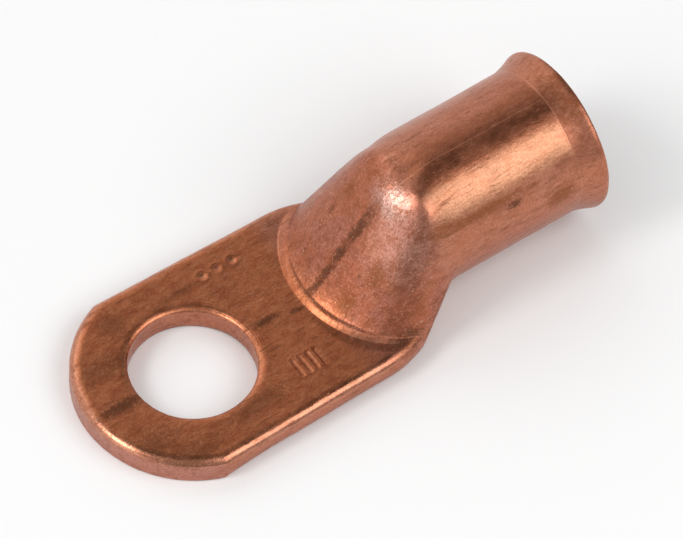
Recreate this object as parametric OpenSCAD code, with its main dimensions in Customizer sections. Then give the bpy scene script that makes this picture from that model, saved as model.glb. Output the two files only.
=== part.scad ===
// Copper cable lug, formed from one length of tube.
// One end of the tube is pressed flat into a palm with a stud hole. The other end stays round,
// takes the conductor for crimping or soldering, and flares out at its mouth.
// The stud hole's axis is Z, the palm's underside is z = 0, and the mouth faces +X.

/* [Palm] */
// Diameter of the stud hole
stud_hole_d = 13; // [8:0.5:16]
// Radius of the punched-in edge round the top of the stud hole
hole_roll = 0.55; // [0.2:0.05:1]
// Width of the palm where the flanks start
palm_w = 22.7; // [18.5:0.1:28]
// How much further out each long edge lies at the tip
tip_spread = 0.6; // [0:0.05:0.8]
// Thickness of the palm, which is two tube walls pressed together
palm_t = 2.9; // [2:0.1:3.4]
// How much larger the tip's radius is than half the width there
tip_corner = 0.4; // [0.2:0.1:1.5]
// Radius of the sheared-over edge round the top of the tip
tip_roll = 0.85; // [0.3:0.05:1.2]
// Flat land from the edge of the stud hole to the foot of the shoulder
land = 6.8; // [3:0.1:12]

/* [Shoulder] */
// How far the foot of the shoulder bows towards the stud hole
foot_bow = 7.8; // [4:0.1:9]
// Width of the low lip along that foot
lip_w = 0.9; // [0.4:0.1:1.2]
// Height of the lip above the palm
lip_rise = 0.45; // [0.2:0.05:0.6]
// Slope of the shoulder's nose above the palm, in degrees
nose_angle = 50; // [38:1:62]
// How far the nose swells above that slope halfway up
nose_swell = 0.7; // [0:0.1:1.2]
// Blend between the nose and the top of the barrel
knuckle = 2.2; // [0.6:0.1:3]
// How far past the front of the foot the flanks start
flank_lead = 5.5; // [3:0.1:8]
// Length over which the flanks draw in from the palm to the barrel
flank_len = 7.5; // [4:0.1:12]
// Reach of the bend that leads from the palm's long edges into the flanks
flank_ease = 2.5; // [0.5:0.1:3]

/* [Barrel] */
// Bore that takes the conductor
bore_d = 13; // [10:0.1:14.4]
// Thickness of the tube wall
wall = 1.5; // [1:0.1:1.8]
// Straight barrel between the shoulder and the flare
grip_len = 15.3; // [8:0.1:40]
// Length of the flare at the mouth
flare_len = 3.1; // [2:0.1:8]
// How far the flare's rim stands out from the barrel
flare_rise = 1.1; // [0.4:0.1:2.5]
// Share of that rise which comes from the crease the flare starts with
flare_crease = 0.5; // [0:0.05:0.7]
// Radius that rounds the outer edge of the rim
rim_round = 0.9; // [0.2:0.05:0.95]

/* [Hidden] */
copper = "#b3714f";

seam = 0.02;           // the shoulder's skin lies this far inside the palm and the barrel
overlap = 1;           // and runs on into them by this much
slit = 0.1;            // height at which the cavity starts between the two pressed walls
fold_bend = 0.3;       // inner bend of the tube wall at the palm's folded edges
roll_steps = 5;        // flats in a quarter of a small rounded edge
flare_steps = 8;       // cones along the flare
ring_steps = 24;       // steps along the top of a shoulder ring, and as many underneath
front_rings = 4;       // rings before the foot, over the lip, and from there to the barrel
lip_rings = 4;
skin_rings = 14;
cavity_rings = 10;

half_w = palm_w / 2;
tip_half_w = half_w + tip_spread;
tip_r = tip_half_w + tip_corner;
stud_r = stud_hole_d / 2;
bore_r = bore_d / 2;
barrel_r = bore_r + wall;
axis_z = barrel_r;     // the barrel's underside is flush with the palm's
nose_slope = tan(nose_angle);
foot_x = stud_r + land;
foot_r = (half_w * half_w + foot_bow * foot_bow) / (2 * foot_bow);
lift_x = foot_x + foot_bow;
flank_x = foot_x + flank_lead;
slab_x = flank_x - flank_ease;
edge_slope = tip_spread / (flank_x + tip_r);
blank_x = -tip_r - overlap;
// The two walls part once the nose has risen one slanted wall above the middle of the palm.
part_run = max(lip_w + (wall / cos(nose_angle) - palm_t / 2 - lip_rise) / nose_slope, seam);
inner_knuckle = max(knuckle - wall, slit);
nose_run = lip_w + (2 * barrel_r - palm_t - lip_rise + knuckle) / nose_slope;
inner_nose_run = part_run + (2 * barrel_r - wall - palm_t / 2 + inner_knuckle) / nose_slope;
side_run = (axis_z - palm_t / 2) / nose_slope;
barrel_x = max(flank_x + flank_len, lift_x + side_run, foot_x + max(nose_run, inner_nose_run));
flare_x = barrel_x + grip_len;
mouth_x = flare_x + flare_len;
mouth_round = (wall - rim_round) / 2;

function mix(a, b, t) = a + (b - a) * t;
function clamp01(v) = min(max(v, 0), 1);

// Height of a unit quarter circle, from 0 at its foot to 1 at its crown
function quarter(v) = sqrt(1 - pow(1 - clamp01(v), 2));

// The lower of two heights, blended where they are less than r apart
function soft_min(a, b, r) =
    let (h = clamp01(0.5 + (b - a) / (2 * r)))
    mix(b, a, h) - r * h * (1 - h);

// Points of an arc, from one angle to another
function arc(centre, r, from, to, steps) =
    [for (i = [0 : steps]) let (a = mix(from, to, i / steps)) centre + r * [cos(a), sin(a)]];

// Points that round the corner c between a and b
function rounded(a, c, b) =
    [for (i = [0 : roll_steps]) let (t = i / roll_steps) mix(mix(a, c, t), mix(c, b, t), t)];

// The shoulder's foot is an arc that bows towards the stud hole.
function foot_at(y) = foot_x + foot_r - sqrt(foot_r * foot_r - y * y);

// The palm's straight long edge
function edge_at(x) = half_w + edge_slope * (flank_x - x);

// Half the width at x: the palm's edge line, then the flank's, with a bend between them
function half_w_at(x) =
    let (flank_slope = (half_w - barrel_r) / flank_len)
    let (flank = half_w + flank_slope * (flank_x - x))
    max(soft_min(edge_at(x), flank, max(flank_ease * (flank_slope - edge_slope), seam)), barrel_r);

// Progress of a section from flat, 0, to round, 1, for sides that leave the palm at start
function round_at(x, start) = clamp01((x - start) / (barrel_x - start));

// Height of the side line, where the top and the underside of a ring meet
function side_z(t) = mix(palm_t / 2, axis_z, t);

// Outer skin at x, a distance e in from the side line and a distance run past the foot
function skin_top(x, e, run) =
    let (t = round_at(x, lift_x), zs = side_z(t), edge = palm_t / 2 - seam)
    let (tube = mix(zs, 2 * barrel_r - seam, quarter(e / mix(edge, barrel_r - seam, t))))
    let (u = clamp01((run - lip_w) / (nose_run - lip_w)), swell = nose_swell * 4 * u * (1 - u))
    let (lip = lip_rise * quarter(run / lip_w), slope = nose_slope * max(run - lip_w, 0))
    let (nose = palm_t / 2 + edge * quarter(e / edge) + lip + slope + swell)
    max(zs, soft_min(tube, nose, max(min(knuckle, 0.8 * (tube - zs)), seam)));

function skin_bottom(x, e) =
    let (t = round_at(x, lift_x))
    mix(side_z(t), seam, quarter(e / (mix(palm_t / 2, barrel_r, t) - seam)));

// Cavity inside it, which starts as a slit where the two walls part
function cavity_top(x, e, run) =
    let (t = round_at(x, lift_x + part_run), zs = side_z(t))
    let (rise = quarter(e / mix(fold_bend, bore_r - seam, t)))
    let (tube = mix(zs, axis_z + bore_r - seam, rise))
    let (nose = palm_t / 2 + slit * rise + nose_slope * max(run - part_run, 0))
    max(zs, soft_min(tube, nose, max(min(inner_knuckle, 0.8 * (tube - zs)), seam)));

function cavity_bottom(x, e) =
    let (t = round_at(x, lift_x + part_run))
    mix(side_z(t), mix(palm_t / 2, wall + seam, t), quarter(e / mix(fold_bend, bore_r - seam, t)));

// Places across a ring: 1 at one side line, -1 at the other, closest together at the sides
places = [for (i = [0 : ring_steps]) cos(180 * i / ring_steps)];

// Where the rings lie along one line of the shoulder: they start inside the palm, follow the
// bend of its edge up to the foot, cross the lip, and end inside the barrel.
function skin_stations(foot) = [
    for (i = [0 : front_rings - 1]) mix(min(foot, slab_x) - overlap, foot, i / front_rings),
    for (i = [0 : lip_rings - 1]) foot + lip_w * pow(i / lip_rings, 2),
    for (i = [0 : skin_rings]) mix(foot + lip_w, barrel_x, i / skin_rings),
    barrel_x + overlap
];

function cavity_stations(foot) = [
    for (i = [0 : cavity_rings]) mix(foot + part_run, barrel_x, i / cavity_rings),
    barrel_x + overlap
];

// The rings of the skin and of the cavity, each over the top and back along the underside
feet = [for (f = places) foot_at(f * half_w)];
skin_xs = [for (foot = feet) skin_stations(foot)];
cavity_xs = [for (foot = feet) cavity_stations(foot)];

function skin_ring(k) = [
    for (i = [0 : ring_steps])
        let (f = places[i], x = skin_xs[i][k], w = half_w_at(x) - seam)
        [x, f * w, skin_top(x, w * (1 - abs(f)), x - feet[i])],
    for (i = [ring_steps - 1 : -1 : 1])
        let (f = places[i], x = skin_xs[i][k], w = half_w_at(x) - seam)
        [x, f * w, skin_bottom(x, w * (1 - abs(f)))]
];

function cavity_ring(k) = [
    for (i = [0 : ring_steps])
        let (f = places[i], x = cavity_xs[i][k], w = half_w_at(x) - wall - seam)
        [x, f * w, cavity_top(x, w * (1 - abs(f)), x - feet[i])],
    for (i = [ring_steps - 1 : -1 : 1])
        let (f = places[i], x = cavity_xs[i][k], w = half_w_at(x) - wall - seam)
        [x, f * w, cavity_bottom(x, w * (1 - abs(f)))]
];

// A closed solid through a row of rings, its ends closed by strips from top to underside
module loft(rings) {
    count = len(rings[0]);
    last = (len(rings) - 1) * count;
    sides = [for (r = [0 : count : last - 1]) for (i = [0 : count - 1])
        let (j = (i + 1) % count)
        each [[r + i, r + count + i, r + count + j], [r + i, r + count + j, r + j]]];
    strips = [for (i = [0 : count / 2 - 1])
        let (under = count - i)
        i == 0 ? [0, 1, count - 1]
               : i == count / 2 - 1 ? [i, i + 1, under] : [i, i + 1, under - 1, under]];
    front = strips;
    back = [for (strip = strips) [for (k = [len(strip) - 1 : -1 : 0]) strip[k] + last]];
    polyhedron([for (ring = rings) each ring], concat(sides, front, back));
}

// Turns a profile of [radius, x] about the barrel's axis
module turned(profile) {
    translate([0, 0, axis_z]) rotate([0, 90, 0]) rotate_extrude($fn = 96) polygon(profile);
}

// One of the palm's folded long edges
module folded_edge() {
    length = 2 * (flank_x - blank_x + overlap);
    translate([flank_x, half_w - palm_t / 2, palm_t / 2])
        rotate([0, -90, -atan(edge_slope)])
            cylinder(h = length, r = (palm_t - seam) / 2, center = true, $fn = 48);
}

// The flattened tube before its tip is cut round
module blank() {
    tip_side = edge_at(blank_x) - palm_t / 2;
    root_side = half_w - palm_t / 2;
    linear_extrude(palm_t)
        polygon([[blank_x, -tip_side], [flank_x, -root_side], [flank_x, root_side], [blank_x, tip_side]]);
    folded_edge();
    mirror([0, 1, 0]) folded_edge();
}

// Keeps what lies within the round tip, with its sheared-over top edge, and up to the shoulder
module palm_outline() {
    roll_z = palm_t - tip_roll + seam;
    rotate_extrude($fn = 96)
        polygon([[0, -1], [tip_r, -1], each arc([tip_r - tip_roll, roll_z], tip_roll, 0, 90, roll_steps),
                 [0, palm_t + 1]]);
    translate([0, -palm_w, -1]) cube([slab_x, 2 * palm_w, palm_t + 2]);
}

module palm() {
    intersection() {
        blank();
        palm_outline();
    }
}

module stud_hole() {
    roll_z = palm_t - hole_roll + seam;
    rotate_extrude($fn = 96)
        polygon([[0, -1], [stud_r, -1],
                 each arc([stud_r + hole_roll, roll_z], hole_roll, 180, 90, roll_steps),
                 [stud_r + hole_roll, palm_t + 1], [0, palm_t + 1]]);
}

module shoulder() {
    loft([for (k = [0 : len(skin_xs[0]) - 1]) skin_ring(k)]);
}

module shoulder_cavity() {
    loft([for (k = [0 : len(cavity_xs[0]) - 1]) cavity_ring(k)]);
}

// Radius of the flare's outside at x
function flare_at(x) =
    let (t = (x - flare_x) / flare_len)
    barrel_r + flare_rise * (flare_crease * t + (1 - flare_crease) * t * t);

// Outline of the flare, a distance in from its outside, up to the plane at end_x
function flare_curve(inset, end_x) =
    [for (i = [0 : flare_steps]) let (x = mix(flare_x, end_x, i / flare_steps)) [flare_at(x) - inset, x]];

module barrel() {
    rim = [flare_at(mouth_x), mouth_x];
    flare = flare_curve(0, mouth_x - rim_round);
    turned([[0, barrel_x], [barrel_r, barrel_x],
            each flare,
            each rounded(flare[flare_steps], rim, rim - [rim_round, 0]),
            [0, mouth_x]]);
}

module bore() {
    rim = [flare_at(mouth_x) - wall, mouth_x + seam];
    flare = flare_curve(wall, mouth_x - mouth_round);
    turned([[0, barrel_x], [bore_r, barrel_x],
            each flare,
            each rounded(flare[flare_steps], rim, rim + [mouth_round, 0]),
            [0, mouth_x + 1]]);
}

module lug() {
    color(copper)
        difference() {
            union() {
                palm();
                shoulder();
                barrel();
            }
            stud_hole();
            shoulder_cavity();
            bore();
        }
}

lug();
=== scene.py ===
"""A copper cable lug: palm with a stud hole, pressed shoulder, round barrel with a flared mouth.

The lug's own sizes and places are in millimetres; MM turns them into metres. The stud hole's axis
is Z, the palm's underside is z = 0, the barrel lies along X and its mouth faces +X.
"""

import math

import bmesh
import bpy
import numpy as np
from mathutils import Matrix, Vector


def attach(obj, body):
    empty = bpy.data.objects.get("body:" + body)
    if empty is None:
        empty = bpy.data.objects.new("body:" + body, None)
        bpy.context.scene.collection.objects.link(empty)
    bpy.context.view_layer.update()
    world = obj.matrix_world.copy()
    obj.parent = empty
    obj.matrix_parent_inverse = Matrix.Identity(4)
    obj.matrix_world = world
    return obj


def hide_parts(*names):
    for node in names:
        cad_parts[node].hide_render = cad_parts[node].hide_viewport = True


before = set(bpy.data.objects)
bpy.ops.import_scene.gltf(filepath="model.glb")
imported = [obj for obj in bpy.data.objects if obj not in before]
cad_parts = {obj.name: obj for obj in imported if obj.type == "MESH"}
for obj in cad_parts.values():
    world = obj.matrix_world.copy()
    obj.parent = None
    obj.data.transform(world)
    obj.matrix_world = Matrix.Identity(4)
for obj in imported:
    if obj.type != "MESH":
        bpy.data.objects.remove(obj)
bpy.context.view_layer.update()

MM = 0.001

# Palm
STUD_R = 6.5
HOLE_ROLL_W = 1.05             # how far out the hole's pressed-in edge reaches
HOLE_ROLL_H = 0.46             # and how deep it goes
HOLE_BURST = 0.09              # how much the punch widened the hole's lower end
HOLE_BURST_H = 0.9             # over this height
HALF_W = 11.35                 # half the width where the flanks begin
TIP_SPREAD = 0.6               # the palm is wider at the tip by this much on each side
PALM_T = 2.9
TIP_R = 12.35
TIP_ROLL_W = 1.3               # the tip's rolled upper edge
TIP_ROLL_H = 0.85
TIP_BURR = 0.1                 # chamfer round the tip's lower edge
FOLD_POWER = 2.6               # 2 makes the folded edge half round, more makes it squarer

# Underneath, the folded edge squares up towards the tip: its inset is full at SQUARE_X + SQUARE_RUN,
# then falls in proportion to the distance from SQUARE_X, to no less than SQUARE_LEAST of itself
SQUARE_X = -6.0
SQUARE_RUN = 8.0
SQUARE_LEAST = 0.25

# Shoulder
FOOT_X = 13.3                  # where the nose meets the palm, on the middle line
FOOT_BOW = 7.8                 # how much further along it does at the edges
LIP_W = 0.9                    # raised lip at the nose's foot
LIP_RISE = 0.45
LIP_POWER = 1.6
EDGE_FADE = 3.5                # the lip and the hollow behind it fade out this far from the edge
NOSE_SLOPE = math.tan(math.radians(50))
NOSE_SWELL = 0.7               # the nose bulges this far above the straight slope
NOSE_RUN = 13.36               # over this run from the foot
FOOT_DISH = 0.75               # how far the nose is hollowed just above its foot
FOOT_DISH_RUN = 2.5
KNUCKLE = 2.2                  # rounding where the nose meets the barrel's crown
KNUCKLE_CREST = 2.8            # extra rounding on top, in the middle
CREST_POWER = 1.3
KNUCKLE_SHARE = 0.8            # the rounding takes at most this share of the height
SHARP = 0.02                   # and never less than this
FLANK_X = 18.8                 # the flanks narrow from here
FLANK_LEN = 7.5                # to the barrel's width, over this length
FLANK_EASE = 2.5               # with corners eased over this length

# Barrel
BORE_R = 6.5
WALL = 1.5
BARREL_R = BORE_R + WALL
AXIS_Z = BARREL_R
BARREL_X = 26.66               # from here the section is round
GRIP_LEN = 15.3
FLARE_LEN = 3.1
FLARE_RISE = 1.1
FLARE_CREASE = 0.5             # share of the rise that is a straight cone from the crease
RIM_ROUND = 0.9                # outer rounding of the rim
RIM_INNER = (WALL - RIM_ROUND) / 2

# Cavity, from the fold under the nose to the bore
PART_RUN = 1.26                # the two layers of the palm part this far past the foot
FOLD_R = 0.3                   # rounding of the cavity's sides at the fold
FOLD_GAP = 0.02                # and its height there

FLARE_X = BARREL_X + GRIP_LEN
MOUTH_X = FLARE_X + FLARE_LEN
LIFT_X = FOOT_X + FOOT_BOW     # up to here the section's sides are the palm's folds
FOOT_R = (HALF_W ** 2 + FOOT_BOW ** 2) / (2 * FOOT_BOW)
TIP_TAPER = TIP_SPREAD / (FLANK_X + TIP_R)

# Marks: three punched dots and four bars
DOT_X, DOT_Y, DOT_PITCH, DOT_R, DOT_DEPTH = 6.9, 8.2, 1.8, 0.55, 0.1
BAR_X, BAR_Y, BAR_PITCH, BAR_R, BAR_DEPTH = 8.3, -6.4, 0.9, 0.28, 0.08
BAR_HALF_LEN = 1.0

# Mesh: how many rings or steps each stretch has, so that the lug stays under 200,000 triangles
FLAT_RINGS, LIP_RINGS, NOSE_RINGS, BARREL_RINGS, FLARE_RINGS = 15, 11, 45, 40, 14
RIM_RINGS, RIM_INNER_RINGS, INNER_FLARE_RINGS, BORE_RINGS = 9, 6, 8, 14
CAVITY_STEPS, CAVITY_BEND = 29, 18     # before the bend in the cavity's roof, every second step
PALM_TOP_RINGS, PALM_UNDER_RINGS = 48, 8
HOLE_BURST_RINGS, HOLE_WALL_RINGS, HOLE_ROLL_RINGS = 5, 5, 16
JOIN_X = 11.0                  # the palm's mesh meets the shoulder's on this plane
ROLL_STEPS = 14                # across a quarter of the palm's folded edge
ACROSS_STEPS = 131             # across the palm between its folded edges
ROUND_STEPS = 331              # round the palm, from one side of the join to the other
EASED_RINGS, EASE_PASSES = 6, 10    # rings each side of the barrel's start that are smoothed
WELD, DEGENERATE = 2e-6, 1e-7  # metres
UNEVEN = 0.035                 # how deep the skin's unevenness goes
SKIN_IN = 0.004                # the shown skin lies this far inside the frame's


# ---------------------------------------------------------------- shape

def mix(a, b, t):
    return a + (b - a) * t


def quarter(v):
    """A quarter circle, from 0 with a steep start to a level 1."""
    return np.sqrt(1 - (1 - np.clip(v, 0, 1)) ** 2)


def tight_fold(v):
    """Like quarter, but flatter on the side and tighter at the top."""
    return (1 - (1 - np.clip(v, 0, 1)) ** FOLD_POWER) ** (1 / FOLD_POWER)


def soft_min(a, b, r):
    """The lower of two heights, rounded over r where they cross."""
    h = np.clip(0.5 + (b - a) / (2 * r), 0, 1)
    return mix(b, a, h) - r * h * (1 - h)


def knuckle_blend(radius, rise):
    """How wide the rounding is where the section rises only so far above its sides."""
    return np.maximum(np.minimum(radius, KNUCKLE_SHARE * rise), SHARP)


def foot_at(y):
    """Where the nose's foot is along X, at y across the palm."""
    return FOOT_X + FOOT_R - np.sqrt(FOOT_R ** 2 - y ** 2)


def half_w_at(x):
    edge = mix(HALF_W, HALF_W + TIP_SPREAD, (FLANK_X - x) / (FLANK_X + TIP_R))
    flank = mix(HALF_W, BARREL_R, (x - FLANK_X) / FLANK_LEN)
    turn = (HALF_W - BARREL_R) / FLANK_LEN - TIP_TAPER
    return np.maximum(soft_min(edge, flank, FLANK_EASE * turn), BARREL_R) - SKIN_IN


def round_at(x, start):
    """How round the section is: 0 at start, 1 where the barrel begins."""
    return np.clip((x - start) / (BARREL_X - start), 0, 1)


def side_z(t):
    """Height of the section's widest point."""
    return mix(PALM_T / 2, AXIS_Z, t)


def skin_top(x, e, run):
    """Outer height at x, e in from the side and run past the nose's foot."""
    t = round_at(x, LIFT_X)
    zs, half = side_z(t), PALM_T / 2 - SKIN_IN
    tube = mix(zs, 2 * BARREL_R - SKIN_IN, quarter(e / mix(half, BARREL_R, t)))
    fade = np.clip(e / EDGE_FADE, 0, 1)
    lip = LIP_RISE * (1 - (1 - np.clip(run / LIP_W, 0, 1)) ** LIP_POWER) * fade ** 2
    past = np.maximum(run - LIP_W, 0)
    u = np.minimum(past / (NOSE_RUN - LIP_W), 1)
    dish = FOOT_DISH * past / FOOT_DISH_RUN * np.exp(1 - past / FOOT_DISH_RUN) * fade
    slope = NOSE_SLOPE * past + NOSE_SWELL * 4 * u * (1 - u) - dish
    nose = PALM_T / 2 + half * tight_fold(e / half) + lip + slope
    middle = np.clip(e / BARREL_R, 0, 1) ** CREST_POWER
    blend = knuckle_blend(KNUCKLE, tube - zs) + KNUCKLE_CREST * t * middle
    return np.maximum(zs, soft_min(tube, nose, blend))


def skin_bottom(x, e):
    t = round_at(x, LIFT_X)
    v = e / mix(PALM_T / 2, BARREL_R, t)
    return mix(side_z(t), SKIN_IN, mix(tight_fold(v), quarter(v), t))


def cavity_top(x, e, run):
    t = round_at(x, LIFT_X + PART_RUN)
    zs = side_z(t)
    rise = quarter(e / mix(FOLD_R, BORE_R, t))
    tube = mix(zs, AXIS_Z + BORE_R, rise)
    nose = PALM_T / 2 + FOLD_GAP * rise + NOSE_SLOPE * np.maximum(run - PART_RUN, 0)
    return np.maximum(zs, soft_min(tube, nose, knuckle_blend(KNUCKLE - WALL, tube - zs)))


def cavity_bottom(x, e):
    t = round_at(x, LIFT_X + PART_RUN)
    return mix(side_z(t), mix(PALM_T / 2, WALL, t), quarter(e / mix(FOLD_R, BORE_R, t)))


def flare_at(x):
    """The flare's outer radius at x."""
    t = (x - FLARE_X) / FLARE_LEN
    return BARREL_R + FLARE_RISE * (FLARE_CREASE * t + (1 - FLARE_CREASE) * t * t)


class Builder:
    """Collects grids of points as quads. Points that coincide are merged at the end."""

    def __init__(self):
        self.points, self.faces, self.count = [], [], 0

    def grid(self, rows, closed=False, flip=False):
        rows = np.asarray(rows, float)
        n, m = rows.shape[:2]
        index = self.count + np.arange(n * m).reshape(n, m)
        if closed:
            index = np.c_[index, index[:, :1]]
        a, b, c, d = index[:-1, :-1], index[1:, :-1], index[1:, 1:], index[:-1, 1:]
        quads = np.stack([a, b, c, d] if not flip else [a, d, c, b], -1).reshape(-1, 4)
        self.points.append(rows.reshape(-1, 3))
        self.faces.append(quads)
        self.count += n * m

    def mesh(self, name):
        points = np.concatenate(self.points) * MM
        faces = np.concatenate(self.faces)
        mesh = bpy.data.meshes.new(name)
        mesh.from_pydata(points.tolist(), [], faces.tolist())
        bm = bmesh.new()
        bm.from_mesh(mesh)
        bmesh.ops.remove_doubles(bm, verts=bm.verts, dist=WELD)
        bmesh.ops.dissolve_degenerate(bm, edges=bm.edges, dist=DEGENERATE)
        bmesh.ops.recalc_face_normals(bm, faces=bm.faces)
        bm.to_mesh(mesh)
        bm.free()
        return mesh


# Angles of the folded edge's upper quarter, and places across the palm as shares of its half width
roll = np.linspace(0, math.pi / 2, ROLL_STEPS + 1)
join_w = float(half_w_at(np.array(JOIN_X)))
edge_in = PALM_T / 2 * (1 - np.cos(roll))
flat_y = np.linspace(join_w - PALM_T / 2, -(join_w - PALM_T / 2), ACROSS_STEPS)
places = np.r_[join_w - edge_in[:-1], flat_y, -(join_w - edge_in[:-1])[::-1]] / join_w
feet = foot_at(places * HALF_W)


def section(x, top, bottom, inset=0.0):
    """One ring of the shoulder at x (a value per place), over the top and back underneath."""
    w = half_w_at(x) - inset
    e = w * (1 - np.abs(places))
    upper = np.c_[x, places * w, top(x, e, x - feet)]
    lower = np.c_[x, places * w, bottom(x, e)]
    return np.r_[upper, lower[-2:0:-1]]


def shoulder_rings():
    stations = [mix(JOIN_X, feet, u) for u in np.linspace(0, 1, FLAT_RINGS)[:-1]]
    stations += [feet + LIP_W * (1 - math.cos(a)) for a in np.linspace(0, math.pi / 2, LIP_RINGS)[:-1]]
    stations += [mix(feet + LIP_W, BARREL_X, u) for u in np.linspace(0, 1, NOSE_RINGS)]
    return [section(x, skin_top, skin_bottom) for x in stations]


def rim_rings(circle):
    """From the flare round the rim to its inner face: two rounded corners."""
    end, rim = MOUTH_X - RIM_ROUND, flare_at(MOUTH_X)
    rings = []
    for t in np.linspace(0, 1, RIM_RINGS)[1:]:
        r = mix(mix(flare_at(end), rim, t), mix(rim, rim - RIM_ROUND, t), t)
        rings.append(circle(mix(mix(end, MOUTH_X, t), MOUTH_X, t), r - SKIN_IN))
    inner, back = rim - WALL, MOUTH_X - RIM_INNER
    for t in np.linspace(0, 1, RIM_INNER_RINGS):
        r = mix(mix(inner + RIM_INNER, inner, t), mix(inner, flare_at(back) - WALL, t), t)
        rings.append(circle(mix(MOUTH_X, mix(MOUTH_X, back, t), t), r))
    return rings


def tube_rings():
    """Rings from the join over the shoulder and barrel, round the rim and back to the fold."""
    rings = shoulder_rings()
    around = np.arctan2(rings[-1][:, 2] - AXIS_Z, rings[-1][:, 1])

    def circle(x, r):
        return np.c_[np.full(len(around), x), r * np.cos(around), AXIS_Z + r * np.sin(around)]

    start = len(rings) - 1
    rings += [circle(x, BARREL_R - SKIN_IN) for x in np.linspace(BARREL_X, FLARE_X, BARREL_RINGS)[1:]]
    eased = slice(start - EASED_RINGS, start + EASED_RINGS + 1)
    soft = np.array(rings[eased])
    for _ in range(EASE_PASSES):
        soft[1:-1] = (soft[:-2] + 2 * soft[1:-1] + soft[2:]) / 4
    rings[eased] = list(soft)
    flare_xs = np.linspace(FLARE_X, MOUTH_X - RIM_ROUND, FLARE_RINGS)
    rings += [circle(x, flare_at(x) - SKIN_IN) for x in flare_xs[1:]]
    rings += rim_rings(circle)
    inner_xs = np.linspace(MOUTH_X - RIM_INNER, FLARE_X, INNER_FLARE_RINGS)
    rings += [circle(x, flare_at(x) - WALL) for x in inner_xs[1:]]
    rings += [circle(x, BORE_R) for x in np.linspace(FLARE_X, BARREL_X, BORE_RINGS)[1:]]
    shares = np.r_[0:CAVITY_BEND:2, CAVITY_BEND:CAVITY_STEPS] / CAVITY_STEPS
    cavity = [mix(feet + PART_RUN, BARREL_X, u) for u in shares]
    rings += [section(x, cavity_top, cavity_bottom, WALL) for x in cavity[::-1]]
    closed = rings[-1].copy()
    closed[:, 2] = PALM_T / 2
    rings.append(closed)
    return rings


def tip_r_at(z):
    """Radius of the round tip at height z."""
    over = max(z - (PALM_T - TIP_ROLL_H), 0) / TIP_ROLL_H
    rolled = TIP_ROLL_W * (1 - math.sqrt(max(1 - over ** 2, 0)))
    return TIP_R - rolled - max(TIP_BURR - z, 0) - SKIN_IN


def straight_at(x, side_in):
    """Half the palm's width at x, drawn in by side_in."""
    return HALF_W + TIP_TAPER * (FLANK_X - x) - side_in - SKIN_IN


def outline(ways, z, side_in):
    """The palm's outline at height z, on rays from the stud's axis, and which rays meet its sides."""
    c, s = np.cos(ways), np.sin(ways)
    side = straight_at(0, side_in) / np.maximum(np.abs(s) + TIP_TAPER * c, 1e-6)
    out = np.minimum(side, np.where(c < 0, tip_r_at(z), np.inf))
    return np.c_[out * c, out * s], side <= out + 1e-9


def outline_below(ways, z, side_in, top, on_side):
    """The outline lower down, opposite the points of the top one. It squares up near the tip."""
    r = tip_r_at(z)
    x = top[:, 0]
    inside_tip = np.where(x < 0, np.sqrt(np.maximum(r * r - x * x, 0)), np.inf)
    square = np.clip((x - SQUARE_X) / SQUARE_RUN, SQUARE_LEAST, 1) if z < PALM_T / 2 else 1.0
    y = np.sign(top[:, 1]) * np.minimum(straight_at(x, side_in * square), inside_tip)
    at_tip = outline(ways, z, side_in * np.min(square))[0]
    return np.where(on_side[:, None], np.c_[x, y], at_tip)


def hole_wall(builder, ways):
    """The stud hole's wall: torn out a little at the bottom, and pressed in round its top."""
    z_roll = PALM_T - HOLE_ROLL_H
    wall = [(STUD_R + HOLE_BURST * (1 - t) ** 2, mix(SKIN_IN, HOLE_BURST_H, t))
            for t in np.linspace(0, 1, HOLE_BURST_RINGS)]
    wall += [(STUD_R, z) for z in np.linspace(HOLE_BURST_H, z_roll, HOLE_WALL_RINGS)[1:]]
    wall += [(STUD_R + HOLE_ROLL_W * (1 - math.cos(a)), z_roll + (HOLE_ROLL_H - SKIN_IN) * math.sin(a))
             for a in np.linspace(0, math.pi / 2, HOLE_ROLL_RINGS)[1:]]
    builder.grid([[(r * math.cos(w), r * math.sin(w), z) for w in ways] for r, z in wall], closed=True)


def palm_grids(builder):
    """The palm up to the join: its two faces, the hole's wall and the edge round the tip."""
    first = section(np.full(len(places), JOIN_X), skin_top, skin_bottom)
    count = len(places)
    upper, lower = first[:count], first[count:][::-1]
    side = np.r_[lower[:ROLL_STEPS][::-1], upper[:ROLL_STEPS + 1]]
    heights, insets = side[:, 2], join_w - side[:, 1]
    corner = math.atan2(flat_y[0], JOIN_X)
    behind = np.linspace(corner, 2 * math.pi - corner, ROUND_STEPS)[1:-1]
    front = np.arctan2(flat_y, JOIN_X)[::-1]
    ways = np.r_[front, behind]
    top, on_side = outline(behind, PALM_T - SKIN_IN, insets[-1])

    def flat(z, hole_r, rings, flip):
        edge = outline_below(behind, z, insets[-1], top, on_side)
        ends = np.r_[np.c_[np.full(len(front), JOIN_X), flat_y[::-1]], edge]
        starts = hole_r * np.c_[np.cos(ways), np.sin(ways)]
        xy = mix(starts[None], ends[None], np.linspace(0, 1, rings)[:, None, None])
        builder.grid(np.concatenate([xy, np.full(xy.shape[:2] + (1,), z)], -1), closed=True, flip=flip)

    flat(PALM_T - SKIN_IN, STUD_R + HOLE_ROLL_W, PALM_TOP_RINGS, False)
    flat(SKIN_IN, STUD_R + HOLE_BURST, PALM_UNDER_RINGS, True)
    hole_wall(builder, ways)

    round_tip = np.stack([np.c_[outline_below(behind, z, inset, top, on_side), np.full(len(behind), z)]
                          for z, inset in zip(heights, insets)])
    one_end, other_end = side[:, None], (side * [1, -1, 1])[:, None]
    builder.grid(np.concatenate([one_end, round_tip, other_end], 1))


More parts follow.
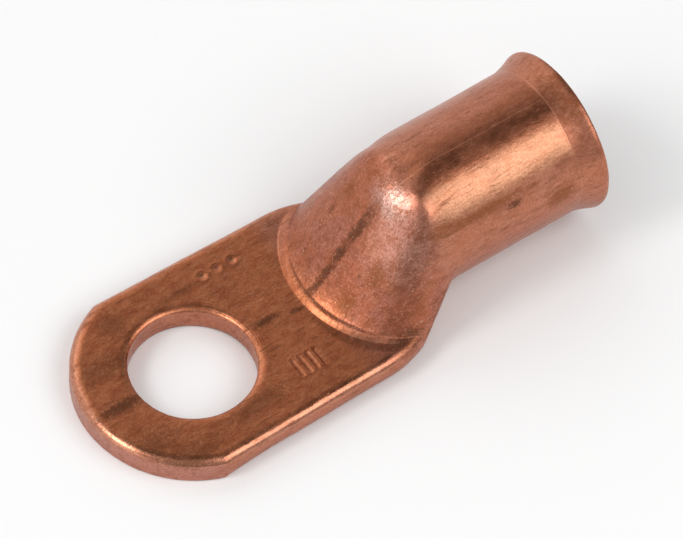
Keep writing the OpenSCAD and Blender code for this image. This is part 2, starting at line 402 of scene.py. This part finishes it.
def waves(points):
    """A gentle unevenness, 0 to 1, such as pressing and tumbling leave. Points are in mm."""
    rng = np.random.default_rng(11)
    shortest, longest, count, softness = 1.8, 9, 26, 2.2
    total = np.zeros(len(points))
    for length in np.geomspace(shortest, longest, count):
        way = rng.normal(size=3)
        way *= 2 * math.pi / length / np.linalg.norm(way)
        total += np.sin(points @ way + rng.uniform(0, 6.3)) * length / longest
    return 0.5 + 0.5 * np.tanh(total / softness)


def pit(distance, radius, depth):
    """A punched mark with a slightly raised rim."""
    inside = np.clip(1 - (distance / radius) ** 2, 0, 1) ** 1.5
    rim = np.exp(-((distance - radius * 1.15) / (0.3 * radius)) ** 2)
    return -depth * inside + 0.3 * depth * rim


def marks(points):
    """Height of the plain die marks on the palm: three dots and a short rank of bars."""
    x, y, z = points.T
    height = np.zeros(len(points))
    for i in range(3):
        height += pit(np.hypot(x - DOT_X - DOT_PITCH * i, y - DOT_Y), DOT_R, DOT_DEPTH)
    for i in range(4):
        past = np.maximum(np.abs(y - BAR_Y) - BAR_HALF_LEN, 0)
        height += pit(np.hypot(x - BAR_X - BAR_PITCH * i, past), BAR_R, BAR_DEPTH)
    on_top = z > PALM_T - 0.02
    return np.where(on_top, height, 0)


def nose_groove(points):
    """Depth of the shallow drag mark that runs up the middle of the nose."""
    x, y, z = points.T
    begins, ends, fade, middle, half, depth = 13.8, 22.5, 1.5, 0.2, 0.4, 0.05
    along = np.clip((x - begins) / fade, 0, 1) * np.clip((ends - x) / fade, 0, 1)
    return np.where(z > PALM_T, depth * along * np.exp(-((y - middle) / half) ** 2), 0)


def build_lug():
    builder = Builder()
    builder.grid(tube_rings(), closed=True)
    palm_grids(builder)
    mesh = builder.mesh("lug_body")
    points, normals = np.empty(len(mesh.vertices) * 3), np.empty(len(mesh.vertices) * 3)
    mesh.vertices.foreach_get("co", points)
    mesh.vertex_normals.foreach_get("vector", normals)
    points, normals = points.reshape(-1, 3) / MM, normals.reshape(-1, 3)
    offset = marks(points) - nose_groove(points) - UNEVEN * waves(points)
    points += normals * offset[:, None]
    mesh.vertices.foreach_set("co", (points * MM).ravel())
    for polygon in mesh.polygons:
        polygon.use_smooth = True
    lug = bpy.data.objects.new("lug_body", mesh)
    bpy.context.scene.collection.objects.link(lug)
    return lug


# ---------------------------------------------------------------- material

# Colours of the metal and of what lies on it, and of the painted highlights and painted shade
BARE_DEEP, BARE_PALE = (0.84, 0.31, 0.185), (0.90, 0.36, 0.225)
FILM_DEEP, FILM_PALE = (0.84, 0.235, 0.10), (1.0, 0.345, 0.155)
NOSE, NOSE_PINK = (0.76, 0.24, 0.13), (0.74, 0.30, 0.23)
SHEARED = (0.88, 0.39, 0.29)
# Pink: a tint on the nose's near ridge, and a painted highlight on top of the knuckle
PINK_AND_HIGHLIGHT = (0.95, 0.48, 0.38)
# Painted highlight: near white, on top of the knuckle
CREST_HIGHLIGHT = (1.0, 0.72, 0.62)
# Pale copper on the palm's rolled edges: partly wear, partly a painted highlight
WORN_AND_HIGHLIGHT = (0.97, 0.49, 0.34)
# Painted highlight: a paler band on the barrel
PAINTED_SHEEN = (0.98, 0.53, 0.30)
# Painted dark reflection along the barrel's top
PAINTED_DARK_REFLECTION = (0.66, 0.20, 0.085)
BROWN = (0.30, 0.10, 0.04)
RUST = (0.40, 0.13, 0.035)
# Dark stains, also used for painted shade on the palm by the nose's foot
GRIME_AND_SHADE = (0.12, 0.05, 0.025)
DUSKY = (0.28, 0.10, 0.04)
# Painted shade in the hollow above the lip
CREASE_SHADE = (0.12, 0.04, 0.02)
MOTTLE = (0.50, 0.15, 0.07)
DARK_SPECK, PALE_SPECK = (0.44, 0.14, 0.07), (1.0, 0.62, 0.48)
# Painted glints: pale flecks on the nose's small dents
GLINT_FLECK = (1.0, 0.62, 0.44)
GRAIN = (1.0, 0.55, 0.36)
# Pale scratch lines, also used for a painted highlight where the flare begins
SCRATCH_AND_HIGHLIGHT = (0.95, 0.45, 0.28)
DULLED = 0.625                 # handled copper is this much darker than the clean metal

# Places of the marks, painted highlights and painted shade: the middle and the radii of each
# The first pink spot tints the nose's near ridge; the second, on top of the knuckle, is a painted highlight
PINK_AND_HIGHLIGHT_SPOTS = ((22.0, -4.5, 11.0), (3.0, 3.5, 5.0)), ((22.8, -0.6, 14.0), (1.8, 2.0, 1.8))
PINK_RAGGED = 1.5, 1.0
# Painted highlight on top of the knuckle
CREST_HIGHLIGHT_SPOT = (23.0, -1.7, 13.8), (1.5, 1.6, 1.6)
FLARE_STAIN = (43.6, -1.5, 16.2), (2.4, 4.0, 2.2)
RUST_SPOTS = (((16.0, -3.6, 5.1), (1.1, 1.1, 1.9)), ((18.9, -4.6, 8.4), (1.1, 1.0, 2.0)),
              ((39.5, -7.8, 9.6), (1.7, 0.8, 1.1)), ((25.5, -6.4, 12.6), (1.6, 0.6, 1.0)),
              ((30.5, -6.6, 12.4), (4.5, 0.4, 0.6)), ((21.4, 3.8, 11.8), (0.8, 0.7, 1.2)))
# The sixth spot, on the palm by the near end of the nose's foot, is painted shade; the others are dark
# stains
GRIME_AND_SHADE_SPOTS = (((-9.0, -0.35, 2.9), (2.6, 0.75, 1)), ((8.9, 0.1, 2.9), (1.5, 0.45, 1)),
               ((12.3, -0.6, 2.9), (1.1, 0.25, 1)), ((19.6, 4.2, 9.5), (0.5, 0.3, 0.8)),
               ((17.7, -3.2, 7.6), (0.4, 0.25, 0.6)), ((19.4, -10.2, 3.3), (1.8, 1.2, 0.9)),
               ((34.1, -7.2, 11.6), (0.9, 0.35, 0.5)))
FAINT_SPOTS = ((-3.9, 8.4, 2.9), (1.6, 1.3, 1)), ((3.4, 7.7, 2.9), (2.4, 0.5, 1))
BROAD_SPOTS = (((-8.5, -6.4, 2.9), (2.5, 1.6, 1)), ((2.4, -7.6, 2.9), (3.5, 1.0, 1)),
               ((-7.4, 4.4, 2.9), (3.0, 1.2, 1)), ((-6.8, -9.2, 2.8), (3.6, 1.5, 0.8)))


class Nodes:
    """Shorthand for a node tree. Names and settings read like the editor's."""

    def __init__(self, tree):
        self.tree = tree
        tree.nodes.clear()

    def add(self, kind, **settings):
        node = self.tree.nodes.new(kind)
        for key, value in settings.items():
            setattr(node, key, value)
        return node

    def link(self, source, target):
        self.tree.links.new(source, target)

    def feed(self, socket, value):
        if isinstance(value, bpy.types.NodeSocket):
            self.link(value, socket)
        else:
            socket.default_value = value

    def math(self, operation, a, b=0.0):
        node = self.add("ShaderNodeMath", operation=operation)
        self.feed(node.inputs[0], a)
        self.feed(node.inputs[1], b)
        return node.outputs[0]

    def chain(self, operation, values):
        out = values[0]
        for value in values[1:]:
            out = self.math(operation, out, value)
        return out

    def plus(self, *values):
        return self.chain("ADD", values)

    def times(self, *values):
        """A product: where masks are multiplied, what lies in all of them."""
        return self.chain("MULTIPLY", values)

    def either(self, *masks):
        return self.chain("MAXIMUM", masks)

    def minus(self, a, b):
        return self.math("SUBTRACT", a, b)

    def ramp(self, value, low, high, to_low=0.0, to_high=1.0):
        """Smooth step from to_low, where value is at low, to to_high, where it is at high."""
        node = self.add("ShaderNodeMapRange", interpolation_type="SMOOTHSTEP")
        self.feed(node.inputs["Value"], value)
        self.feed(node.inputs["From Min"], low)
        self.feed(node.inputs["From Max"], high)
        self.feed(node.inputs["To Min"], to_low)
        self.feed(node.inputs["To Max"], to_high)
        return node.outputs["Result"]

    def band(self, value, centre, half, edge):
        """1 where value is within half of centre, falling to 0 over edge."""
        away = self.math("ABSOLUTE", self.minus(value, centre))
        return self.ramp(away, self.plus(half, edge), half)

    def blend(self, factor, a, b, kind="MIX"):
        node = self.add("ShaderNodeMix", data_type="RGBA", blend_type=kind)
        self.feed(node.inputs["Factor"], factor)
        self.feed(node.inputs["A"], a)
        self.feed(node.inputs["B"], b)
        return node.outputs["Result"]

    def noise(self, vector, scale, detail=3.0, rough=0.55, distortion=0.0):
        node = self.add("ShaderNodeTexNoise")
        self.link(vector, node.inputs["Vector"])
        node.inputs["Scale"].default_value = scale
        node.inputs["Detail"].default_value = detail
        node.inputs["Roughness"].default_value = rough
        node.inputs["Distortion"].default_value = distortion
        return node.outputs["Fac"]

    def stretched(self, vector, scale, turn=(0, 0, 0), shift=(0, 0, 0)):
        node = self.add("ShaderNodeMapping")
        self.link(vector, node.inputs["Vector"])
        node.inputs["Scale"].default_value = scale
        node.inputs["Rotation"].default_value = turn
        node.inputs["Location"].default_value = shift
        return node.outputs["Vector"]

    def length(self, vector):
        node = self.add("ShaderNodeVectorMath", operation="LENGTH")
        self.link(vector, node.inputs[0])
        return node.outputs["Value"]

    def split(self, vector):
        node = self.add("ShaderNodeSeparateXYZ")
        self.link(vector, node.inputs[0])
        return node.outputs


class Skin(Nodes):
    """The lug's copper: coordinates in mm, the noises, the regions of the lug, and its colour."""

    def __init__(self, tree):
        super().__init__(tree)
        mm = self.stretched(self.add("ShaderNodeTexCoord").outputs["Object"], (1 / MM,) * 3)
        self.mm = mm
        self.x, self.y, self.z = self.split(mm)

        self.patches = self.noise(mm, 0.25, 4)
        self.mottle = self.noise(self.stretched(mm, (0.6, 1.0, 1.0)), 1.0, 6, 0.7)
        self.grain = self.noise(self.stretched(mm, (1.1, 3.4, 3.4), turn=(0, 0, 0.1)), 1.0, 4, 0.7)
        self.streaks = self.noise(self.stretched(mm, (0.35, 2.4, 2.4), shift=(7, 3, 1)), 1.0, 4, 0.7, 0.4)
        self.fine = self.noise(mm, 5.0, 4, 0.7)
        self.speckle = self.noise(mm, 2.4, 3, 0.65)
        self.dents = self.noise(mm, 1.5, 2, 0.5)
        self.flecks = self.noise(self.stretched(mm, (1.9, 3.2, 2.4), shift=(5, 2, 9)), 1.0, 2, 0.5)

        # Regions of the lug, each from 0 outside to 1 inside
        x, y, z = self.x, self.y, self.z
        self.on_palm = self.times(self.ramp(x, 16.5, 13.5), self.ramp(z, 2.3, 2.75))
        self.on_barrel = self.ramp(x, 24.5, 27.0)
        self.on_nose = self.times(self.ramp(z, 3.0, 3.4), self.ramp(x, 25.5, 23.5))
        self.on_flare = self.ramp(x, 42.05, 42.3)
        self.before_flare = self.ramp(x, 42.3, 41.7)

        # Distance past the nose's foot, angle round the barrel from its top, distance from the hole's axis
        across = self.math("SQRT", self.math("MAXIMUM", self.minus(FOOT_R ** 2, self.times(y, y)), 0.0))
        self.run = self.minus(x, self.minus(FOOT_X + FOOT_R, across))
        self.turn = self.math("ARCTAN2", self.times(y, -1.0), self.minus(z, AXIS_Z))
        self.from_hole = self.math("SQRT", self.plus(self.times(x, x), self.times(y, y)))
        self.colour = None

    def spot(self, centre, radii, ragged=3.2):
        """Up to 1 within a ragged, mottled ellipsoid, 0 away from it. Centre and radii are in mm."""
        shift = [-c / r for c, r in zip(centre, radii)]
        near = self.length(self.stretched(self.mm, [1 / r for r in radii], shift=shift))
        torn = self.plus(self.times(self.speckle, 0.6), self.times(self.fine, 0.4))
        return self.ramp(self.plus(near, self.times(self.minus(torn, 0.5), ragged)), 1.6, 0.35)

    def spots(self, places, ragged=3.2):
        return self.either(*[self.spot(centre, radii, ragged) for centre, radii in places])

    def coat(self, colour, mask, strength=1.0):
        """Lay a colour over what is there, where mask is, and at most at this strength."""
        factor = mask if strength == 1.0 else self.times(mask, strength)
        self.colour = self.blend(factor, self.colour, (*colour, 1))

    def by_nose(self, elsewhere, on_it):
        """A number that has one value on the nose and another elsewhere."""
        return self.ramp(self.on_nose, 0.0, 1.0, elsewhere, on_it)


def bare_metal(n):
    """Bare copper, a browner film on the palm, a pink tint on the nose's ridge and wear on the palm's edges,
    with painted highlights on the knuckle, the palm's edges and the barrel, and a painted dark reflection
    along the barrel's top. Returns where it is smoother.
    """
    patchy = n.ramp(n.patches, 0.35, 0.65)
    n.colour = n.blend(patchy, (*BARE_DEEP, 1), (*BARE_PALE, 1))
    n.coat(NOSE, n.on_nose, 0.85)
    n.coat(NOSE_PINK, n.times(n.on_nose, n.ramp(n.patches, 0.46, 0.60)), 0.55)
    film = n.blend(n.ramp(n.mottle, 0.30, 0.62), (*FILM_DEEP, 1), (*FILM_PALE, 1))
    n.colour = n.blend(n.on_palm, n.colour, film)
    n.coat(SHEARED, n.times(n.ramp(n.z, 2.5, 2.0), n.ramp(n.x, -3.0, -5.0)))
    # A pink tint on the nose's near ridge, and a pale painted highlight on top of the knuckle
    pink_and_highlight = n.either(*[n.spot(*place, ragged) for place, ragged in zip(PINK_AND_HIGHLIGHT_SPOTS, PINK_RAGGED)])
    n.coat(PINK_AND_HIGHLIGHT, pink_and_highlight, 0.75)
    # Painted highlight: the top of the knuckle is painted near white
    crest_highlight = n.spot(*CREST_HIGHLIGHT_SPOT, 1.0)
    n.coat(CREST_HIGHLIGHT, crest_highlight, 0.65)
    # The palm's rolled edges, round the tip, along the folds and less round the hole, are paler: partly
    # wear, and partly a painted highlight where they catch the light
    worn_and_highlight = n.times(n.ramp(n.z, 2.0, 2.3), n.ramp(n.z, 2.87, 2.75), n.ramp(n.x, 19.0, 15.0),
                   n.ramp(n.from_hole, 7.8, 9.0, 0.35, 1.0))
    n.coat(WORN_AND_HIGHLIGHT, worn_and_highlight, 0.5)
    # Painted highlight: a paler band along the barrel's near upper side, where its bright reflection falls
    n.coat(PAINTED_SHEEN, n.times(n.on_barrel, n.before_flare, n.band(n.turn, 0.64, 0.18, 0.15)), 0.6)
    # Painted shade: a darker band along the top of the barrel, where the dark gap overhead is reflected
    n.coat(PAINTED_DARK_REFLECTION, n.times(n.on_barrel, n.before_flare, n.band(n.turn, 0.12, 0.22, 0.2)), 0.55)
    return n.either(pink_and_highlight, crest_highlight, worn_and_highlight)


def drag_mark(n):
    """The dark mark that the press dragged up the middle of the nose."""
    wander = n.plus(n.y, n.times(n.minus(n.speckle, 0.5), 1.3))
    middle, half = n.ramp(n.x, 16, 21.5, 0.15, -0.25), n.ramp(n.x, 14.5, 21.5, 0.18, 0.4)
    broken = n.ramp(n.plus(n.mottle, n.ramp(n.x, 15.5, 18.0, 0.35, 0.0)), 0.15, 0.55)
    return n.times(n.band(wander, middle, half, 0.5), n.ramp(n.z, 3.2, 3.5), n.ramp(n.x, 22.6, 20.9), broken)


def shade_outside_lip(n):
    """Painted shade on the palm just outside the near half of the lip."""
    return n.times(n.band(n.run, -0.3, n.ramp(n.y, -2, -9, 0.05, 0.9), 0.5), n.ramp(n.y, -0.5, -5.0),
                   n.ramp(n.z, 3.4, 3.0), n.ramp(n.z, 2.4, 2.7), n.ramp(n.mottle, 0.3, 0.6, 0.1, 0.8))


def stains(n):
    """Brown streaks, a mottled flare, rust, dark stains, and painted shade by the lip, by the near end of
    the nose's foot and in the hollow above the lip. Returns where it is dirty and where shade is painted.
    """
    streaky = n.times(n.ramp(n.streaks, 0.50, 0.68), n.ramp(n.patches, 0.40, 0.60, 0.3, 0.9))
    on_flare = n.times(n.on_flare, n.spot(*FLARE_STAIN, 1.0), n.ramp(n.mottle, 0.62, 0.40, 0.45, 1.0))
    brown = n.either(streaky, on_flare)
    n.coat(BROWN, brown, 0.8)
    rust = n.spots(RUST_SPOTS)
    n.coat(RUST, rust, 0.7)
    # Dark stains, with painted shade along the lip and by the near end of the nose's foot
    spots = n.either(n.spots(GRIME_AND_SHADE_SPOTS), shade_outside_lip(n))
    grime_and_shade = n.either(n.times(drag_mark(n), 0.88), n.times(spots, 0.8))
    n.coat(GRIME_AND_SHADE, grime_and_shade)
    n.coat(DUSKY, n.either(n.spots(FAINT_SPOTS, 3), n.spots(BROAD_SPOTS, 4)), 0.45)
    # Painted shade: a thin dark line in the hollow just above the lip
    crease_shade = n.times(n.band(n.run, LIP_W + 0.03, 0.05, 0.1), n.band(n.y, -1.0, 4.5, 3.0),
                     n.ramp(n.z, 2.9, 3.1))
    n.coat(CREASE_SHADE, crease_shade, 0.7)
    return n.either(grime_and_shade, rust, brown)


def speckles(n):
    """Mottling, dark and pale specks, painted glints on the nose, and the drawn tube's grain."""
    mottled = n.plus(n.ramp(n.on_palm, 0, 1, 0.35, 0.1), n.times(n.on_nose, 0.25))
    n.coat(MOTTLE, n.times(n.ramp(n.mottle, 0.54, 0.40), mottled))
    n.coat(DARK_SPECK, n.ramp(n.fine, 0.35, 0.60, n.by_nose(0.4, 0.6), 0.0))
    n.coat(PALE_SPECK, n.ramp(n.fine, 0.56, 0.72, 0.0, n.by_nose(0.35, 0.55)))
    # Painted glints: pale flecks over the nose's small dents, which the relief presses in
    n.coat(GLINT_FLECK, n.times(n.on_nose, n.ramp(n.flecks, 0.66, 0.76)), 0.7)
    n.coat(GRAIN, n.ramp(n.grain, 0.56, 0.72, 0.0, 0.3))


def scratches_and_flare_highlight(n):
    """Fine scratch lines, the long line that the die left on top, and a painted highlight along the bend
    where the flare begins.
    """
    along = n.noise(n.stretched(n.mm, (0.5, 11, 11), turn=(0, 0, 0.12)), 1.0, 2)
    across = n.noise(n.stretched(n.mm, (0.6, 9, 9), turn=(0.5, 0.3, 1.1)), 1.0, 2)
    die_line = n.times(n.band(n.y, -0.62, 0.03, 0.06), n.ramp(n.x, 21.0, 22.0), n.before_flare,
                       n.ramp(n.z, 12, 13))
    # Painted highlight: a pale line on the bend where the flare begins, also a groove in the relief
    flare_highlight_line = n.times(n.band(n.x, 42.08, 0.03, 0.07), n.ramp(n.z, 6, 9))
    scratch_and_highlight_lines = n.either(n.ramp(along, 0.70, 0.76), n.ramp(across, 0.73, 0.78), die_line, flare_highlight_line)
    n.coat(SCRATCH_AND_HIGHLIGHT, scratch_and_highlight_lines, 0.3)
    return scratch_and_highlight_lines


def relief(n, scratch_and_highlight_marks):
    """Height of the skin's small relief, with the punch's faint arcs on one side of the hole."""
    arcs = n.times(n.math("SINE", n.times(n.from_hole, 21.0)), n.band(n.from_hole, 7.35, 0.55, 0.1),
                   n.ramp(n.x, 4.0, 5.5), n.ramp(n.y, -2.5, -1.5))
    return n.plus(n.times(n.dents, n.by_nose(0.8, 1.8)), n.times(n.speckle, 0.8),
                  n.times(n.fine, n.by_nose(0.5, 0.8)), n.times(n.streaks, 0.6), n.times(arcs, 0.25),
                  n.times(scratch_and_highlight_marks, -0.5), n.times(n.on_nose, n.ramp(n.flecks, 0.60, 0.76), -0.5))


def copper():
    material = bpy.data.materials.new("copper")
    material.use_nodes = True
    n = Skin(material.node_tree)
    smooth = bare_metal(n)
    # Rougher where it is dirty, and also where shade is painted
    dirt_and_shade = stains(n)
    speckles(n)
    scratch_and_highlight_marks = scratches_and_flare_highlight(n)

    bump = n.add("ShaderNodeBump")
    bump.inputs["Strength"].default_value = 0.45
    bump.inputs["Distance"].default_value = 0.05 * MM
    n.link(relief(n, scratch_and_highlight_marks), bump.inputs["Height"])
    rough = n.ramp(n.plus(n.mottle, n.patches), 0.7, 1.3, 0.27, 0.40)
    rough = n.plus(rough, n.times(dirt_and_shade, 0.15), n.times(smooth, -0.13))

    shader = n.add("ShaderNodeBsdfPrincipled")
    shader.inputs["Metallic"].default_value = 1.0
    n.link(n.blend(1.0, n.colour, (DULLED, DULLED, DULLED, 1), "MULTIPLY"), shader.inputs["Base Color"])
    n.link(rough, shader.inputs["Roughness"])
    n.link(bump.outputs["Normal"], shader.inputs["Normal"])
    out = n.add("ShaderNodeOutputMaterial")
    n.link(shader.outputs[0], out.inputs["Surface"])
    return material


# ---------------------------------------------------------------- studio

AIM = Vector((18, 0, 5)) * MM  # what the camera and the lamps look at

# Camera: the photograph's angles in degrees, and its distance and offsets from the aim in mm
CAMERA_AZIMUTH, CAMERA_ELEVATION, CAMERA_ROLL = 38.0929, 54.2112, 3.0768
CAMERA_LENS = 503.7
CAMERA_AWAY, CAMERA_ASIDE, CAMERA_BELOW = 957.99, 0.139, 0.1557

# Lamps: direction from the lug, direction of the long side, spreads in degrees, and radiance
LAMP_AWAY = 0.8                # metres
KEY = (0.38, -0.58, 0.72), (1, 0, 0), 46, 40, 2.05
FILL = (-0.66, 0.16, 0.73), (-0.62, -0.25, -0.3), 22, 17, 5.76

# Levels of the surroundings
WALLS_LEVEL = 0.576
BACK_LEVEL = 0.93
CEILING_LEVEL = 0.61
PAST_MOUTH_SHARE = 0.5         # of these, on the side that the mouth faces

# Stretches of the surroundings: direction, cosines where each begins and is full, and its level
GAP_BETWEEN_LIGHTS = (0.42, 0.02, 0.91), 0.87, 0.965, 0.1
LEFT_WALL_GLOW = (-0.97, -0.08, 0.24), 0.88, 0.985, 1.44
BACK_WALL_GLOW = (-0.13, 0.73, 0.67), 0.93, 0.98, 1.52
OVERHEAD = (-0.15, 0.22, 0.95), 0.93, 0.985, 0.19
DIM_FRONT = (-0.55, -0.82, 0.12), 0.86, 0.97, 0.5
ROUND_FILL = (-0.66, 0.16, 0.73), 0.92, 0.98, 1.28
STRETCHES = GAP_BETWEEN_LIGHTS, LEFT_WALL_GLOW, BACK_WALL_GLOW, OVERHEAD, DIM_FRONT, ROUND_FILL

# Floor
FLOOR_COLOUR = 0.97
FLOOR_HALF = 1.5               # half its width, in metres
FLOOR_GAP = 0.02 * MM          # keeps the floor clear of the points that the lug stands on


def look_axes(azimuth, elevation, roll):
    """Camera axes: to the right, up, and the way it looks. Azimuth 0 looks along +Y."""
    a, e, r = (math.radians(v) for v in (azimuth, elevation, roll))
    forward = Vector((math.sin(a) * math.cos(e), math.cos(a) * math.cos(e), -math.sin(e)))
    right = Vector((math.cos(a), -math.sin(a), 0))
    up = right.cross(forward)
    return right * math.cos(r) + up * math.sin(r), up * math.cos(r) - right * math.sin(r), forward


def add_camera():
    data = bpy.data.cameras.new("camera")
    data.sensor_fit = "HORIZONTAL"
    data.sensor_width = 36
    data.lens = CAMERA_LENS
    data.clip_start, data.clip_end = 0.05, 20
    camera = bpy.data.objects.new("camera", data)
    bpy.context.scene.collection.objects.link(camera)
    right, up, forward = look_axes(CAMERA_AZIMUTH, CAMERA_ELEVATION, CAMERA_ROLL)
    eye = AIM - (forward * CAMERA_AWAY - right * CAMERA_ASIDE + up * CAMERA_BELOW) * MM
    camera.matrix_world = Matrix.Translation(eye) @ Matrix((right, up, -forward)).transposed().to_4x4()
    bpy.context.scene.camera = camera


def add_softbox(name, way, along, spread_along, spread_across, radiance):
    """A rectangular light seen from the lug in direction way. The spreads are in degrees."""
    back = Vector(way).normalized()
    side = (Vector(along) - back * back.dot(Vector(along))).normalized()
    data = bpy.data.lights.new(name, "AREA")
    data.shape = "RECTANGLE"
    data.size = 2 * LAMP_AWAY * math.tan(math.radians(spread_along / 2))
    data.size_y = 2 * LAMP_AWAY * math.tan(math.radians(spread_across / 2))
    data.energy = radiance * math.pi * data.size * data.size_y
    light = bpy.data.objects.new(name, data)
    turn = Matrix((side, back.cross(side), back)).transposed().to_4x4()
    light.matrix_world = Matrix.Translation(AIM + back * LAMP_AWAY) @ turn
    bpy.context.scene.collection.objects.link(light)


def add_world():
    """Pale surroundings with lighter and darker stretches, dimmer overhead and past the mouth."""
    world = bpy.data.worlds.new("world")
    bpy.context.scene.world = world
    world.use_nodes = True
    n = Nodes(world.node_tree)
    way = n.add("ShaderNodeTexCoord").outputs["Generated"]
    x, y, z = n.split(way)
    walls = n.ramp(y, -0.6, 0.8, WALLS_LEVEL, BACK_LEVEL)
    level = n.times(n.ramp(z, 0.35, 0.8, walls, CEILING_LEVEL), n.ramp(x, 0.3, 0.95, 1.0, PAST_MOUTH_SHARE))
    for heading, begins, full, there in STRETCHES:
        toward = n.add("ShaderNodeVectorMath", operation="DOT_PRODUCT")
        n.link(way, toward.inputs[0])
        toward.inputs[1].default_value = Vector(heading).normalized()
        level = n.ramp(toward.outputs["Value"], begins, full, level, there)
    around = n.add("ShaderNodeBackground")
    around.inputs["Color"].default_value = (1, 1, 1, 1)
    n.link(level, around.inputs["Strength"])
    out = n.add("ShaderNodeOutputWorld")
    n.link(around.outputs[0], out.inputs["Surface"])


def floor_material():
    material = bpy.data.materials.new("floor")
    material.use_nodes = True
    n = Nodes(material.node_tree)
    shader = n.add("ShaderNodeBsdfDiffuse")
    shader.inputs["Color"].default_value = (FLOOR_COLOUR, FLOOR_COLOUR, FLOOR_COLOUR, 1)
    out = n.add("ShaderNodeOutputMaterial")
    n.link(shader.outputs[0], out.inputs["Surface"])
    return material


def add_floor(lug):
    """A flat floor that touches the palm's tip and the lowest point of the flare's rim."""
    mesh = bpy.data.meshes.new("floor")
    corners = ((-1, -1), (1, -1), (1, 1), (-1, 1))
    mesh.from_pydata([(FLOOR_HALF * x, FLOOR_HALF * y, -FLOOR_GAP) for x, y in corners], [], [(0, 1, 2, 3)])
    mesh.materials.append(floor_material())
    floor = bpy.data.objects.new("floor", mesh)
    bpy.context.scene.collection.objects.link(floor)
    points = np.array([v.co for v in lug.data.vertices])
    tip = points[points[:, 0] < -10 * MM]
    tip = tip[np.argmin(tip[:, 2])]
    past = points[points[:, 0] > 0]
    slope = np.min((past[:, 2] - tip[2]) / (past[:, 0] - tip[0]))
    floor.matrix_world = Matrix.Translation(tip) @ Matrix.Rotation(-math.atan(slope), 4, "Y")


scene = bpy.context.scene
scene.view_settings.view_transform = "Standard"

lug = build_lug()
lug.data.materials.append(copper())
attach(lug, "root")
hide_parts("lug")

add_camera()
add_world()
add_softbox("key", *KEY)
add_softbox("fill", *FILL)
add_floor(lug)
